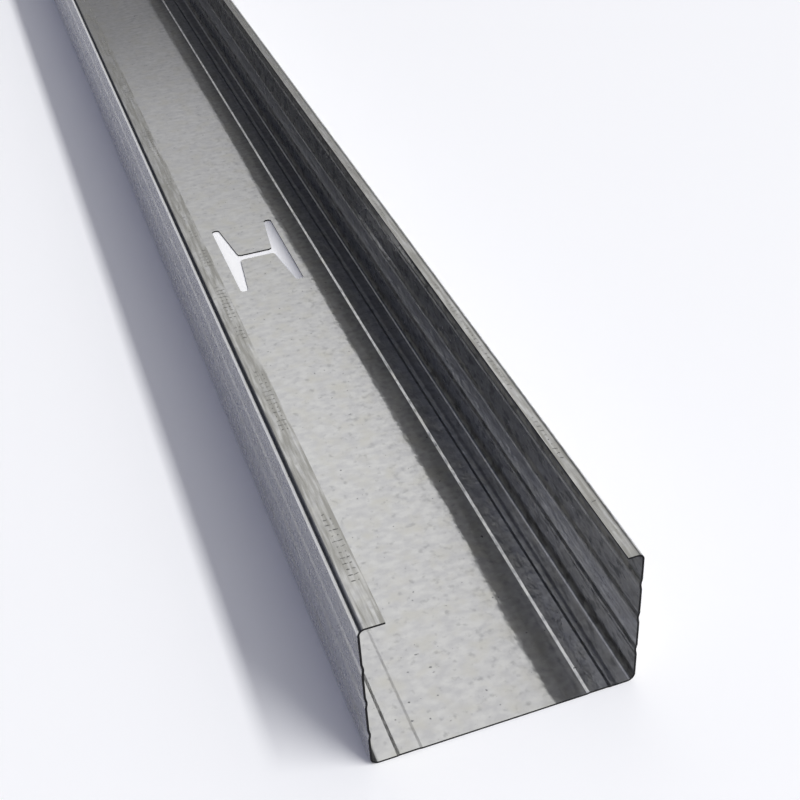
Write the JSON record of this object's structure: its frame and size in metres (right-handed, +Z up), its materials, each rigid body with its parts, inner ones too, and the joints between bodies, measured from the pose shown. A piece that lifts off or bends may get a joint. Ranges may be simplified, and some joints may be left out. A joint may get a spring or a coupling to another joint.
{
  "type": "steel stud",
  "caption": "Roll-formed galvanised steel wall stud: lipped channel with ribbed flanges and web, and H-shaped cable punchings along the web.",
  "frame": {"origin": "middle of the web's underside, half way along the stud, on the surface it lies on", "axes": "+X across the web towards the lower flange, +Y along the stud away from the end that the picture shows, +Z up out of the web towards the open side"},
  "size_m": [0.0738, 2.5, 0.049],
  "materials": {
    "galvanised_sheet": "galvanised"
  },
  "bodies": {
    "root": {"stud": "galvanised_sheet"}
  },
  "joints": []
}
